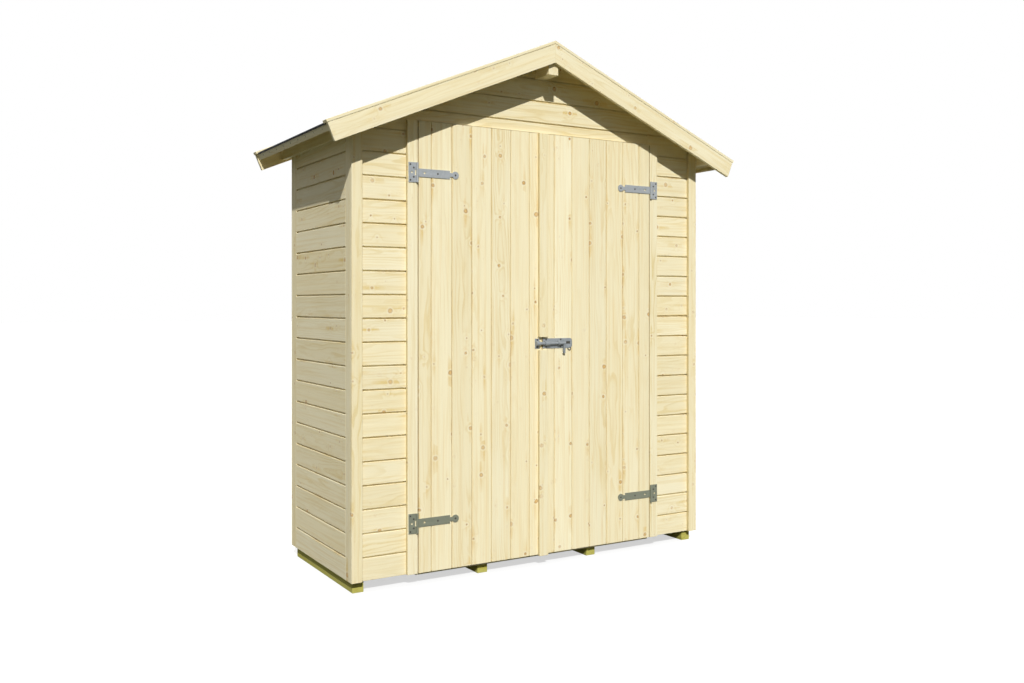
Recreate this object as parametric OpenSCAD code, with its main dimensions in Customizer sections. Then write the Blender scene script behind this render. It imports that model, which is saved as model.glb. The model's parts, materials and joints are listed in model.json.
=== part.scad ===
// Small timber garden shed with a pair of ledged doors and a shallow gable roof.
// Millimetres, Z up, front towards -Y, origin on the ground under the middle of the shed.

/* [Walls] */
// Overall width over the side cladding
wall_w = 1796; // [1600:1:2100]
// Overall depth over the front and back trims
wall_d = 740; // [640:1:900]
// Width of the cladding that shows between a corner trim and a jamb trim
panel_w = 197; // [160:1:240]
// Height of the cladding over the top corners of the doorway
head_room = 94; // [60:1:140]
// Thickness of the wall cladding
clad_t = 16; // [12:1:20]
// Width of a corner post, across the front
post_w = 30; // [24:1:40]
// Depth of the wall frame behind the cladding
frame_d = 36; // [28:1:48]
// Height of a frame rail
rail_h = 36; // [28:1:60]
// Width of the corner and jamb trims
trim_w = 46; // [36:1:60]
// Thickness of the corner and jamb trims
trim_t = 16; // [16:1:22]

/* [Base] */
// Width of a bearer
bearer_w = 48; // [38:1:70]
// Height of a bearer
bearer_h = 48; // [38:1:70]
// Thickness of the floor
floor_t = 16; // [14:1:22]
// How far the nosing of the threshold hangs below the top of the bearers
nosing_drop = 10; // [6:1:20]

/* [Roof] */
// Slope of the roof in degrees
pitch = 23; // [20:0.5:26]
// Height of the top of the deck at the ridge
ridge_z = 2290; // [2100:1:2500]
// How far the deck reaches out beyond the side walls, measured level
eaves_out = 122; // [60:1:200]
// Thickness of the roof deck
deck_t = 16; // [12:1:22]
// Thickness of the roofing felt
felt_t = 4; // [2:0.5:6]
// How far the felt turns down over the eave fascia
felt_turn = 4; // [2:0.5:12]
// How far the bargeboards stand in front of the trims
overhang = 108; // [60:1:160]
// Width of a bargeboard, square to the slope
barge_w = 76; // [60:1:95]
// Thickness of a bargeboard
barge_t = 16; // [12:1:22]
// Width of the cap strip over a bargeboard
cap_w = 40; // [28:1:60]
// Thickness of the cap strip
cap_t = 12; // [8:1:18]
// How far the cap strip stands proud of the bargeboard's face
cap_lip = 2; // [1:0.5:6]
// Height of the eave fascia, square to the slope
fascia_h = 30; // [22:1:40]
// Thickness of the eave fascia
fascia_t = 12; // [8:1:18]
// Height of the eaves batten at its outer face
batten_h = 50; // [36:1:70]
// Thickness of the eaves batten
batten_t = 16; // [12:1:24]
// Width of the ridge purlin
purlin_w = 49; // [40:1:60]
// Height of the ridge purlin at its middle
purlin_h = 116; // [90:1:140]

/* [Doors] */
// Thickness of the door boards
leaf_t = 15; // [12:1:15]
// Running gap around a leaf
leaf_gap = 5; // [5:0.5:8]
// Height of the foot of the leaves above the top of the bearers
leaf_lift = 2; // [1:0.5:10]
// Height of a door ledge
ledge_h = 70; // [50:1:95]
// Thickness of a door ledge
ledge_t = 20; // [16:1:24]
// Width of the strip that covers the meeting of the leaves
strip_w = 46; // [36:1:60]
// Thickness of the meeting strip
strip_t = 15; // [10:1:18]
// Relief behind the meeting strip where it laps the other leaf
strip_relief = 3; // [2:0.5:5]
// How far the meeting strip hangs below the leaves
strip_drop = 5; // [0:0.5:8]

/* [Hinges] */
// Height of the lower hinges above the foot of the leaves
hinge_foot = 207; // [150:1:350]
// Distance of the upper hinges below the top of the leaves
hinge_head = 215; // [150:1:350]
// Distance of the pins from the edge of the doorway, out over the jamb trim
pin_set = 4; // [2:0.5:8]
// Width of a hinge plate from the pin to its outer edge
plate_w = 38; // [30:1:44]
// Height of a hinge plate
plate_h = 82; // [70:1:110]
// Thickness of the hinge sheet
sheet_t = 3; // [2:0.5:4]
// Outer diameter of the knuckle
knuckle_d = 10; // [9:0.5:16]
// Diameter of the hinge pin
pin_d = 5; // [4:0.5:7]
// Height of the tongue of the strap that wraps the pin
tongue_h = 23; // [18:1:32]
// Width of the slot that shows in the plate beside the tongue
slot_w = 4.5; // [2:0.5:8]
// Side of the square bolt holes
square_hole = 8; // [6:0.5:10]
// Distance of the plate's bolt hole from the pin
plate_hole_x = 23; // [18:1:26]
// Distance of the strap's bolt hole from the pin
strap_hole_x = 34.5; // [20:0.5:50]
// Height of the strap
strap_h = 34; // [24:1:40]
// Length of the straight part of the strap from the pin
strap_l = 152; // [120:1:200]
// Height of the neck between the strap and its round end
neck_h = 16; // [10:1:22]
// Length of the neck up to the middle of the round end
neck_l = 26; // [22:1:40]
// Diameter of the round end of the strap
strap_end_d = 31.5; // [24:0.5:40]

/* [Padbolt] */
// Height of the padbolt above the ground
bolt_z = 984; // [800:1:1200]
// Length of the padbolt's plate
bolt_plate_l = 156; // [150:1:200]
// Height of the padbolt's plate
bolt_plate_h = 44; // [38:1:56]
// Thickness of the padbolt's plates
bolt_sheet_t = 2.5; // [2:0.5:4]
// Diameter of the sliding bar
bar_d = 13; // [10:0.5:14]
// How far the bar slides back
bar_travel = 43; // [36:1:46]
// Length of the handle below the bar
handle_l = 45; // [40:1:80]
// Width of the handle
handle_w = 10; // [8:1:18]
// Width of the keeper on the other leaf
keeper_w = 23; // [18:1:28]
// Outer diameter of the padlock ring
ring_d = 20; // [16:1:26]
// Wire diameter of the padlock ring
ring_wire = 4; // [3:0.5:5]

/* [Hidden] */
$fn = 48;
// Hair gap between faces that lie along the slope
slope_gap = 0.1;
// How far a bargeboard runs past the eave fascia, and its cap past the bargeboard
barge_lip = 7;
cap_end = 3;
// Clearance around a pin in its bore, and between the pieces of one knuckle
pin_clear = 0.1;
knuckle_gap = 0.5;
// Space between a knuckle and the face behind it
knuckle_lift = 0.3;
// Clearance around the bar in its guides and in the keeper
bar_clear = 0.4;
// Open mitre between two pieces that meet at the ridge
mitre_gap = 0.4;
// Reveal between a leaf's back and the stop behind it
stop_clear = 6;
// How far the jamb post reaches in behind the leaf's edge
stop_lap = 19;
// Free space kept between a ledge and the frame beside it
ledge_inset = 10;
// Height of the lintel, and how far it hangs below the top of the doorway
lintel_h = 70;
lintel_drop = 35;
// Space between the padbolt's plate and the ends of the meeting strip over and under it
strip_clear = 6;
// Radius of the padbolt plate's outer corners
bolt_corner_r = 12;
// Space between the bar and the plate behind it, and the wall of the guides over the bar
bar_lift = 1;
guide_wall = 3;
// Guides over the bar, each as its distance from the leaf's edge and its length
guides = [[5, 26], [75, 9]];
// Slot near the plate's end: its distance from the end, its length, its reach under and over the bar's axis
eye_end = 10;
eye_l = 22;
eye_under = 4;
eye_over = 8;
// Padlock ring: its distance from the plate's straight end, and its reach up over the plate's lower edge
ring_in = 2;
ring_lap = 8;
// How far inside the leaf's edge the drawn-back bar's tip stands, and short of the keeper when it is thrown
tip_back = 3;
tip_set = 1;
// Margin of the keeper's plate beside its bridge
keeper_lip = 2;
// Handle: its distance from the leaf's edge, its reach before and behind the bar, and the bar's end past it
handle_at = 103;
handle_front = 4;
handle_back = 2;
bar_end = 2;

half_w = wall_w / 2;
face_y = -wall_d / 2;
clad_y = face_y + trim_t;
frame_y = clad_y + clad_t;
room_y = frame_y + frame_d;
clad_x = half_w - clad_t;
rail_x = clad_x - post_w;
post_x = half_w - post_w;

base_z = bearer_h;
floor_z = base_z + floor_t;
bearer_count = 4;
bearer_pitch = (2 * clad_x - bearer_w) / (bearer_count - 1);

barge_face_y = face_y - overhang;
barge_back_y = barge_face_y + barge_t;
cap_y = barge_face_y - cap_lip;
deck_l = (half_w + eaves_out) / cos(pitch);
barge_l = deck_l + fascia_t + barge_lip;
cap_l = barge_l + cap_end;

function under_z(x) = ridge_z - (deck_t + slope_gap) / cos(pitch) - tan(pitch) * x;
function slope_point(d, n) = [d * cos(pitch) + n * sin(pitch), ridge_z - d * sin(pitch) + n * cos(pitch)];

jamb_x = half_w - 2 * trim_w - panel_w;
head_z = under_z(jamb_x) - head_room;
leaf_in = leaf_gap / 2;
leaf_out = jamb_x - leaf_gap;
leaf_z = base_z + leaf_lift;
leaf_top = head_z - leaf_gap;
leaf_back_y = face_y + leaf_t;
stop_y = leaf_back_y + stop_clear;
stop_x = leaf_out - stop_lap;
jamb_post_x = jamb_x + trim_w / 2;

knuckle_r = knuckle_d / 2;
hinge_back = knuckle_r + knuckle_lift;
hinge_front = hinge_back - sheet_t;
pin_x = jamb_x + pin_set;
pin_y = face_y - hinge_back;
hinge_low_z = leaf_z + hinge_foot;
hinge_high_z = leaf_top - hinge_head;

bar_y = face_y - bolt_sheet_t - bar_d / 2 - bar_lift;
bolt_gap = bolt_plate_h / 2 + strip_clear;
tip_x = leaf_in + tip_back - bar_travel;
keeper_x = tip_x - tip_set;

SPRUCE = "#F0E3BC";
SHADED_SPRUCE = "#D9C99A";
TREATED = "#B8B254";
ZINC = "#9BA3AC";
FELT = "#2B2C2E";

// A box between two corners
module box(x0, x1, y0, y1, z0, z1) {
    translate([x0, y0, z0]) cube([x1 - x0, y1 - y0, z1 - z0]);
}

// Everything is drawn on the right or the front, and reflected to the left or the back
module to_left() {
    mirror([1, 0, 0]) children();
}

module to_back() {
    mirror([0, 1, 0]) children();
}

module both_sides() {
    children();
    to_left() children();
}

// A section in the XZ plane, drawn out between two depths
module drawn(y0, y1) {
    translate([0, y1, 0]) rotate([90, 0, 0]) linear_extrude(y1 - y0) children();
}

// Cuts what it is given along the underside of the roof deck
module under_roof() {
    intersection() {
        children();
        drawn(-wall_d * 2, wall_d * 2)
            polygon([[-wall_w, 0], [wall_w, 0], [wall_w, under_z(wall_w)],
                     [0, under_z(0)], [-wall_w, under_z(wall_w)]]);
    }
}

// A layer of the right roof slope between two heights over the deck, plumb at the ridge
module slope_layer(n0, n1, length, y0, y1, x0 = 0) {
    drawn(y0, y1)
        polygon([[x0, ridge_z + n0 / cos(pitch) - x0 * tan(pitch)], slope_point(length, n0),
                 slope_point(length, n1), [x0, ridge_z + n1 / cos(pitch) - x0 * tan(pitch)]]);
}

// Base
module bearers() {
    color(TREATED)
        for (i = [0 : bearer_count - 1])
            translate([-clad_x + i * bearer_pitch, 0, 0])
                box(0, bearer_w, frame_y, -frame_y, 0, bearer_h);
}

module floor_panel() {
    color(SPRUCE) box(-rail_x, rail_x, room_y, -room_y, base_z, floor_z);
}

module threshold() {
    color(SHADED_SPRUCE) {
        box(-stop_x, stop_x, stop_y, room_y, base_z, floor_z);
        box(-jamb_x, jamb_x, stop_y, frame_y, base_z - nosing_drop, base_z);
    }
}

// Wall frame
module corner_post() {
    under_roof() box(post_x, half_w, clad_y, room_y, base_z, ridge_z);
}

module front_posts() {
    color(SPRUCE) both_sides() corner_post();
}

module back_posts() {
    color(SPRUCE) to_back() both_sides() corner_post();
}

// The post stands behind the cladding, and its rebate stops the leaf up to the head of the doorway
module jamb_post() {
    color(SPRUCE) {
        under_roof() box(stop_x, jamb_post_x, frame_y, room_y, base_z, ridge_z);
        box(stop_x, jamb_x, stop_y, frame_y, base_z, head_z);
    }
}

module door_lintel() {
    color(SPRUCE) box(-stop_x, stop_x, frame_y, room_y, head_z - lintel_drop, head_z - lintel_drop + lintel_h);
}

module side_wall_rails() {
    color(SPRUCE)
        both_sides() {
            box(rail_x, clad_x, room_y, -room_y, base_z, base_z + rail_h);
            under_roof() box(rail_x, clad_x, room_y, -room_y, under_z(clad_x) - rail_h, ridge_z);
        }
}

module front_wall_rails() {
    color(SPRUCE)
        both_sides() {
            box(jamb_post_x, post_x, frame_y, room_y, base_z, base_z + rail_h);
            box(jamb_post_x, post_x, frame_y, room_y, under_z(post_x) - rail_h, under_z(post_x));
        }
}

module back_wall_rails() {
    color(SPRUCE)
        to_back() {
            box(-post_x, post_x, frame_y, room_y, base_z, base_z + rail_h);
            box(-post_x, post_x, frame_y, room_y, under_z(post_x) - rail_h, under_z(post_x));
        }
}

// Cladding
module side_wall() {
    color(SPRUCE) under_roof() box(clad_x, half_w, room_y, -room_y, base_z, ridge_z);
}

module front_panel() {
    color(SPRUCE) under_roof() box(jamb_x, post_x, clad_y, frame_y, base_z, ridge_z);
}

// The slot in a gable that the ridge purlin passes through
module purlin_slot() {
    box(-purlin_w / 2, purlin_w / 2, -wall_d, wall_d, under_z(0) - purlin_h, ridge_z * 2);
}

module front_gable() {
    color(SPRUCE)
        difference() {
            under_roof() box(-jamb_x, jamb_x, clad_y, frame_y, head_z, ridge_z);
            purlin_slot();
        }
}

module back_wall() {
    color(SPRUCE)
        difference() {
            to_back() under_roof() box(-post_x, post_x, clad_y, frame_y, base_z, ridge_z);
            purlin_slot();
        }
}

// Trims
module corner_trims() {
    both_sides() under_roof() box(half_w - trim_w, half_w, face_y, clad_y, base_z, ridge_z);
}

module front_corner_trims() {
    color(SPRUCE) corner_trims();
}

module back_corner_trims() {
    color(SPRUCE) to_back() corner_trims();
}

// Level with the tops of the leaves
module jamb_trims() {
    color(SPRUCE) both_sides() box(jamb_x, jamb_x + trim_w, face_y, clad_y, base_z, leaf_top);
}

// Roof
module ridge_purlin() {
    color(SPRUCE)
        under_roof()
            box(-purlin_w / 2, purlin_w / 2, barge_back_y, -barge_back_y, under_z(0) - purlin_h, ridge_z);
}

module eaves_batten() {
    batten_x = half_w + batten_t;
    color(SPRUCE)
        under_roof()
            box(half_w, batten_x, barge_back_y, -barge_back_y, under_z(batten_x) - batten_h, ridge_z);
}

module roof_deck() {
    color(SPRUCE) slope_layer(-deck_t, 0, deck_l, barge_back_y, -barge_back_y);
}

module roof_felt() {
    felt_y = cap_y + cap_w;
    eave = deck_l + fascia_t + slope_gap;
    color(FELT) {
        slope_layer(slope_gap, felt_t, eave, felt_y, -felt_y);
        drawn(felt_y, -felt_y)
            polygon([slope_point(eave, -felt_turn), slope_point(eave + felt_t, -felt_turn),
                     slope_point(eave + felt_t, felt_t), slope_point(eave, felt_t)]);
    }
}

module eave_fascia() {
    inner = deck_l + slope_gap;
    outer = deck_l + fascia_t;
    color(SPRUCE)
        drawn(barge_back_y, -barge_back_y)
            polygon([slope_point(inner, -fascia_h), slope_point(outer, -fascia_h),
                     slope_point(outer, 0), slope_point(inner, 0)]);
}

module bargeboards() {
    color(SPRUCE)
        both_sides() slope_layer(-barge_w, 0, barge_l, barge_face_y, barge_back_y, mitre_gap / 2);
}

module cap_strips() {
    color(SPRUCE)
        both_sides() slope_layer(slope_gap, cap_t, cap_l, cap_y, cap_y + cap_w, mitre_gap / 2);
}

// Doors
module door_boards() {
    color(SPRUCE) box(leaf_in, leaf_out, face_y, leaf_back_y, leaf_z, leaf_top);
}

module door_ledges() {
    color(SPRUCE)
        for (z = [hinge_low_z, bolt_z, hinge_high_z])
            box(leaf_in + strip_w / 2 + ledge_inset, stop_x - ledge_inset,
                leaf_back_y, leaf_back_y + ledge_t, z - ledge_h / 2, z + ledge_h / 2);
}

// One length of the meeting strip, relieved behind its free half
module strip_length(z0, z1) {
    difference() {
        box(-strip_w / 2, strip_w / 2, face_y - strip_t, face_y, z0, z1);
        box(-strip_w, leaf_in, face_y - strip_relief, face_y + 1, z0 - 1, z1 + 1);
    }
}

module meeting_strip() {
    color(SPRUCE) {
        strip_length(leaf_z - strip_drop, bolt_z - bolt_gap);
        strip_length(bolt_z + bolt_gap, leaf_top);
    }
}

// Hinges, drawn round the pin with the plate towards +X and the strap towards -X
module at_hinges() {
    for (z = [hinge_low_z, hinge_high_z])
        translate([pin_x, pin_y, z]) children();
}

module bolt_hole(x) {
    box(x - square_hole / 2, x + square_hole / 2, 0, knuckle_d, -square_hole / 2, square_hole / 2);
}

module hinge_plate() {
    knuckle_z = tongue_h / 2 + knuckle_gap;
    difference() {
        box(0, plate_w, hinge_front, hinge_back, -plate_h / 2, plate_h / 2);
        box(-1, knuckle_r + slot_w, 0, knuckle_d, -knuckle_z, knuckle_z);
        bolt_hole(plate_hole_x);
    }
    for (s = [-1, 1])
        translate([0, 0, s * (knuckle_z + plate_h / 2) / 2])
            cylinder(d = knuckle_d, h = plate_h / 2 - knuckle_z, center = true);
    cylinder(d = pin_d, h = plate_h, center = true);
}

module hinge_strap() {
    end_x = -strap_l - neck_l;
    difference() {
        union() {
            box(-strap_l, -knuckle_r - knuckle_gap, hinge_front, hinge_back, -strap_h / 2, strap_h / 2);
            box(end_x, -strap_l, hinge_front, hinge_back, -neck_h / 2, neck_h / 2);
            translate([end_x, hinge_back, 0])
                rotate([90, 0, 0]) cylinder(d = strap_end_d, h = sheet_t);
            box(-knuckle_d, 0, hinge_front, knuckle_r, -tongue_h / 2, tongue_h / 2);
            cylinder(d = knuckle_d, h = tongue_h, center = true);
        }
        cylinder(d = pin_d + 2 * pin_clear, h = strap_h, center = true);
        bolt_hole(-strap_hole_x);
    }
}

module hinge_plates() {
    color(ZINC) at_hinges() hinge_plate();
}

module hinge_straps() {
    color(ZINC) at_hinges() hinge_strap();
}

// Padbolt
// A bridge over the bar, open towards the door
module bar_bridge(x0, x1) {
    bore_d = bar_d + 2 * bar_clear;
    outer_d = bore_d + 2 * guide_wall;
    difference() {
        union() {
            box(x0, x1, bar_y, face_y, bolt_z - outer_d / 2, bolt_z + outer_d / 2);
            translate([x0, bar_y, bolt_z]) rotate([0, 90, 0]) cylinder(d = outer_d, h = x1 - x0);
        }
        translate([x0 - 1, bar_y, bolt_z]) rotate([0, 90, 0]) cylinder(d = bore_d, h = x1 - x0 + 2);
    }
}

module padbolt_plate() {
    end_x = leaf_in + bolt_plate_l;
    straight_x = end_x - bolt_corner_r;
    plate_y = face_y - bolt_sheet_t;
    low_z = bolt_z - bolt_plate_h / 2;
    high_z = bolt_z + bolt_plate_h / 2;
    color(ZINC) {
        difference() {
            union() {
                box(leaf_in, straight_x, plate_y, face_y, low_z, high_z);
                box(leaf_in, end_x, plate_y, face_y, low_z + bolt_corner_r, high_z - bolt_corner_r);
                for (z = [low_z + bolt_corner_r, high_z - bolt_corner_r])
                    translate([straight_x, face_y, z])
                        rotate([90, 0, 0]) cylinder(r = bolt_corner_r, h = bolt_sheet_t);
            }
            box(end_x - eye_end - eye_l, end_x - eye_end, plate_y - 1, face_y + 1,
                bolt_z - eye_under, bolt_z + eye_over);
        }
        for (guide = guides)
            bar_bridge(leaf_in + guide[0], leaf_in + guide[0] + guide[1]);
        translate([straight_x - ring_in, face_y - ring_wire / 2, low_z - ring_d / 2 + ring_lap])
            rotate([90, 0, 0])
                rotate_extrude() translate([ring_d / 2 - ring_wire / 2, 0]) circle(d = ring_wire);
    }
}

module padbolt_keeper() {
    color(ZINC) {
        box(keeper_x, keeper_x + keeper_w, face_y - bolt_sheet_t, face_y,
            bolt_z - bolt_plate_h / 2, bolt_z + bolt_plate_h / 2);
        bar_bridge(keeper_x + keeper_lip, keeper_x + keeper_w - keeper_lip);
    }
}

module padbolt_bar() {
    handle_x = leaf_in + handle_at;
    color(ZINC) {
        translate([tip_x, bar_y, bolt_z])
            rotate([0, 90, 0]) cylinder(d = bar_d, h = handle_x + handle_w + bar_end - tip_x);
        box(handle_x, handle_x + handle_w, bar_y - handle_front, bar_y + handle_back,
            bolt_z - handle_l, bolt_z);
    }
}

bearers();
floor_panel();  // floor
threshold();
front_posts();
back_posts();
to_left() jamb_post();  // left_jamb_post
jamb_post();  // right_jamb_post
door_lintel();
to_left() side_wall();  // left_wall
side_wall();  // right_wall
side_wall_rails();
front_wall_rails();
to_left() front_panel();  // front_left_panel
front_panel();  // front_right_panel
front_gable();
back_wall();
back_wall_rails();
front_corner_trims();
jamb_trims();
back_corner_trims();
ridge_purlin();
to_left() eaves_batten();  // left_eaves_batten
eaves_batten();  // right_eaves_batten
to_left() roof_deck();  // left_roof_deck
roof_deck();  // right_roof_deck
to_left() roof_felt();  // left_roof_felt
roof_felt();  // right_roof_felt
to_left() eave_fascia();  // left_eave_fascia
eave_fascia();  // right_eave_fascia
bargeboards();  // front_bargeboards
to_back() bargeboards();  // back_bargeboards
cap_strips();  // front_cap_strips
to_back() cap_strips();  // back_cap_strips
to_left() door_boards();  // left_door_boards
door_boards();  // right_door_boards
to_left() door_ledges();  // left_door_ledges
door_ledges();  // right_door_ledges
meeting_strip();
to_left() hinge_plates();  // left_hinge_plates
hinge_plates();  // right_hinge_plates
to_left() hinge_straps();  // left_hinge_straps
hinge_straps();  // right_hinge_straps
padbolt_plate();
padbolt_keeper();
padbolt_bar();
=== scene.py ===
"""Looks of a small timber garden shed: boarded walls and doors, felt roof, zinc-coated hinges and padbolt.

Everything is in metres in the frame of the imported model: +Z up, front towards -Y.
"""
import json
import math
import random

import bmesh
import bpy
from mathutils import Matrix, Vector


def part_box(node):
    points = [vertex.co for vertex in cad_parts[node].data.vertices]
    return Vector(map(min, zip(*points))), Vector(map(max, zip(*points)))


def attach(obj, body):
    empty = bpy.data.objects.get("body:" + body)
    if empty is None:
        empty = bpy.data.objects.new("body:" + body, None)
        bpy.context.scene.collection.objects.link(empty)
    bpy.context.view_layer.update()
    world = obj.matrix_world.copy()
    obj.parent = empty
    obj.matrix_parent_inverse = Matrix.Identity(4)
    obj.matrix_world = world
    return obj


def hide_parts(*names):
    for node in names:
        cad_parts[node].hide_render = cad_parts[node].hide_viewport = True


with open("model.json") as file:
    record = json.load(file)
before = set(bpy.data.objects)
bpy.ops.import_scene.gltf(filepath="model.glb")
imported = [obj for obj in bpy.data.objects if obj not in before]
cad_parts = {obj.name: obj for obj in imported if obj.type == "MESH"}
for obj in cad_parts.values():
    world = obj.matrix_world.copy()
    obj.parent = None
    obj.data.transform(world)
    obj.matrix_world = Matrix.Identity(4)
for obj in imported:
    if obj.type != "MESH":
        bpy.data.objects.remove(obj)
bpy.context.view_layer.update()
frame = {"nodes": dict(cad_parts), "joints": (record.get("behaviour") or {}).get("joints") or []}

MM = 0.001
# Pitch of the roof
PITCH = math.radians(23)
# Vertices closer than this become one
WELD = 0.01 * MM
# Faces that meet at less than this become one
FLAT_ANGLE = math.radians(0.5)
# Edges sharper than this are eased on a solid, and stay creases on a smooth one
EDGE_ANGLE = math.radians(20)
CREASE_ANGLE = math.radians(18)
X = Vector((1, 0, 0))
Y = Vector((0, 1, 0))
Z = Vector((0, 0, 1))

MATH = "ShaderNodeMath"
VECTOR = "ShaderNodeVectorMath"
NOISE = "ShaderNodeTexNoise"
CELLS = "ShaderNodeTexVoronoi"
SPREAD = "ShaderNodeMapRange"
BLEND = "ShaderNodeMix"


# Colour and node helpers

def linear(code):
    """The linear colour of an sRGB hex value."""
    channels = [int(code[i:i + 2], 16) / 255 for i in (1, 3, 5)]
    return (*[c / 12.92 if c <= 0.04045 else ((c + 0.055) / 1.055) ** 2.4 for c in channels], 1.0)


def add(tree, kind, links=None, **settings):
    """Adds a node. Links name its inputs and give a value to set, or a socket or node to join."""
    node = tree.nodes.new(kind)
    for name, value in settings.items():
        setattr(node, name, value)
    for key, value in (links or {}).items():
        if isinstance(key, int):
            socket = node.inputs[key]
        else:
            socket = next(each for each in node.inputs if each.name == key and each.enabled)
        if isinstance(value, bpy.types.Node):
            value = next(each for each in value.outputs if each.enabled)
        if isinstance(value, bpy.types.NodeSocket):
            tree.links.new(value, socket)
        else:
            socket.default_value = value
    return node


def new_material(name):
    """An empty material, its node tree and its principled shader."""
    material = bpy.data.materials.new(name)
    material.use_nodes = True
    tree = material.node_tree
    tree.nodes.clear()
    shader = add(tree, "ShaderNodeBsdfPrincipled")
    add(tree, "ShaderNodeOutputMaterial", {"Surface": shader})
    return material, tree, shader


# Materials

def spacing(along_mm, across_mm, into_mm):
    """Scales along, across and into a board that give a pattern these sizes."""
    return tuple(1 / (size * MM) for size in (along_mm, across_mm, into_mm))


def knot_marks(tree, place):
    """The marks of knots, each as a factor. A cell of 115 mm holds one knot at most, and many hold none.

    core covers a knot, middle grows from its rim inwards, eye is its dark pith and collar the pale wood
    around it. swirl is the reach in which it bends the rings, and smear the stained grain at both ends.
    """
    cell = 0.115
    bare_cells = 0.38
    too_far = 0.06
    cells = add(tree, CELLS, {"Vector": place, "Scale": 1 / cell}, voronoi_dimensions="2D")
    draw = add(tree, "ShaderNodeSeparateColor", {"Color": cells.outputs["Color"]}).outputs
    clear = add(tree, MATH, {0: draw[1], 1: bare_cells}, operation="LESS_THAN")
    # Distance from the middle of the knot, with a ragged rim
    ragged = add(tree, NOISE, {"Vector": place, "Scale": 1 / (13 * MM), "Detail": 2.0})
    away = add(tree, MATH, {0: cells.outputs["Distance"], 1: cell}, operation="MULTIPLY")
    away = add(tree, MATH, {0: ragged, 1: 0.006, 2: away}, operation="MULTIPLY_ADD")
    away = add(tree, MATH, {0: clear, 1: too_far, 2: away}, operation="MULTIPLY_ADD")
    # Radius up to about 13 mm, the small ones more common
    size = add(tree, MATH, {0: draw[0], 1: 2.0}, operation="POWER")
    radius = add(tree, SPREAD, {"Value": size, "To Min": 0.0050, "To Max": 0.0135})
    depth = add(tree, MATH, {0: radius, 1: away}, operation="SUBTRACT")
    vivid = add(tree, SPREAD, {"Value": draw[1], "From Min": bare_cells, "To Min": 0.65, "To Max": 1.0})
    dead = add(tree, SPREAD, {"Value": draw[2], "From Min": 0.55, "To Min": 0.05, "To Max": 0.8})
    # The stain runs along the board and is six times as long as it is wide
    offset = add(tree, VECTOR, {0: place, 1: cells.outputs["Position"]}, operation="SUBTRACT")
    offset = add(tree, VECTOR, {0: offset, 1: (0.16, 1.0, 0.0)}, operation="MULTIPLY")
    reach = add(tree, VECTOR, {0: offset}, operation="LENGTH")
    reach = add(tree, MATH, {0: clear, 1: too_far, 2: reach}, operation="MULTIPLY_ADD")
    inside = add(tree, MATH, {0: radius, 1: reach}, operation="SUBTRACT")
    return {
        "core": add(tree, SPREAD, {"Value": depth, "From Min": -0.0028, "From Max": 0.0018,
                                   "To Max": vivid}),
        "middle": add(tree, SPREAD, {"Value": depth, "From Min": -0.002, "From Max": 0.007}),
        "eye": add(tree, SPREAD, {"Value": away, "From Min": 0.0062, "From Max": 0.0036, "To Max": dead}),
        "collar": add(tree, SPREAD, {"Value": depth, "From Min": -0.009, "From Max": -0.002,
                                     "To Max": 0.55}),
        "swirl": add(tree, SPREAD, {"Value": depth, "From Min": -0.028, "From Max": 0.0},
                     interpolation_type="SMOOTHSTEP"),
        "smear": add(tree, SPREAD, {"Value": inside, "From Min": -0.004, "From Max": 0.006})}


def growth_rings(tree, grain, place, luck, swirl, ring_mm):
    """Late wood in rings about a pith behind the face that wanders and leans along the board."""
    axes = add(tree, "ShaderNodeSeparateXYZ", {"Vector": grain}).outputs
    side = add(tree, SPREAD, {"Value": luck[0], "To Min": -0.055, "To Max": 0.055})
    lean = add(tree, SPREAD, {"Value": luck[2], "To Min": -0.03, "To Max": 0.03})
    side = add(tree, MATH, {0: axes[0], 1: lean, 2: side}, operation="MULTIPLY_ADD")
    across = add(tree, MATH, {0: axes[1], 1: side}, operation="SUBTRACT")
    behind = add(tree, SPREAD, {"Value": luck[1], "To Min": 0.010, "To Max": 0.070})
    tilt = add(tree, SPREAD, {"Value": luck[0], "To Min": -0.04, "To Max": 0.04})
    behind = add(tree, MATH, {0: axes[0], 1: tilt, 2: behind}, operation="MULTIPLY_ADD")
    into = add(tree, MATH, {0: axes[2], 1: behind}, operation="ADD")
    section = add(tree, "ShaderNodeCombineXYZ", {"X": across, "Y": into})
    pith = add(tree, VECTOR, {0: section}, operation="LENGTH")
    wander = add(tree, VECTOR, {0: place, 1: spacing(500, 110, 110)}, operation="MULTIPLY")
    wander = add(tree, NOISE, {"Vector": wander, "Scale": 1.0, "Detail": 3.0})
    bent = add(tree, MATH, {0: wander, 1: 0.055, 2: pith}, operation="MULTIPLY_ADD")
    bent = add(tree, MATH, {0: swirl, 1: 0.012, 2: bent}, operation="MULTIPLY_ADD")
    rings = add(tree, MATH, {0: bent, 1: ring_mm * MM}, operation="DIVIDE")
    ring = add(tree, MATH, {0: rings}, operation="FRACT")
    # Each ring darkens slowly outwards and ends at a sharp line
    late_wood = add(tree, "ShaderNodeFloatCurve", {"Value": ring})
    points = late_wood.mapping.curves[0].points
    points[0].location = (0.0, 0.15)
    points[1].location = (1.0, 0.15)
    points.new(0.62, 0.40)
    points.new(0.86, 1.0)
    late_wood.mapping.update()
    return late_wood


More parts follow.
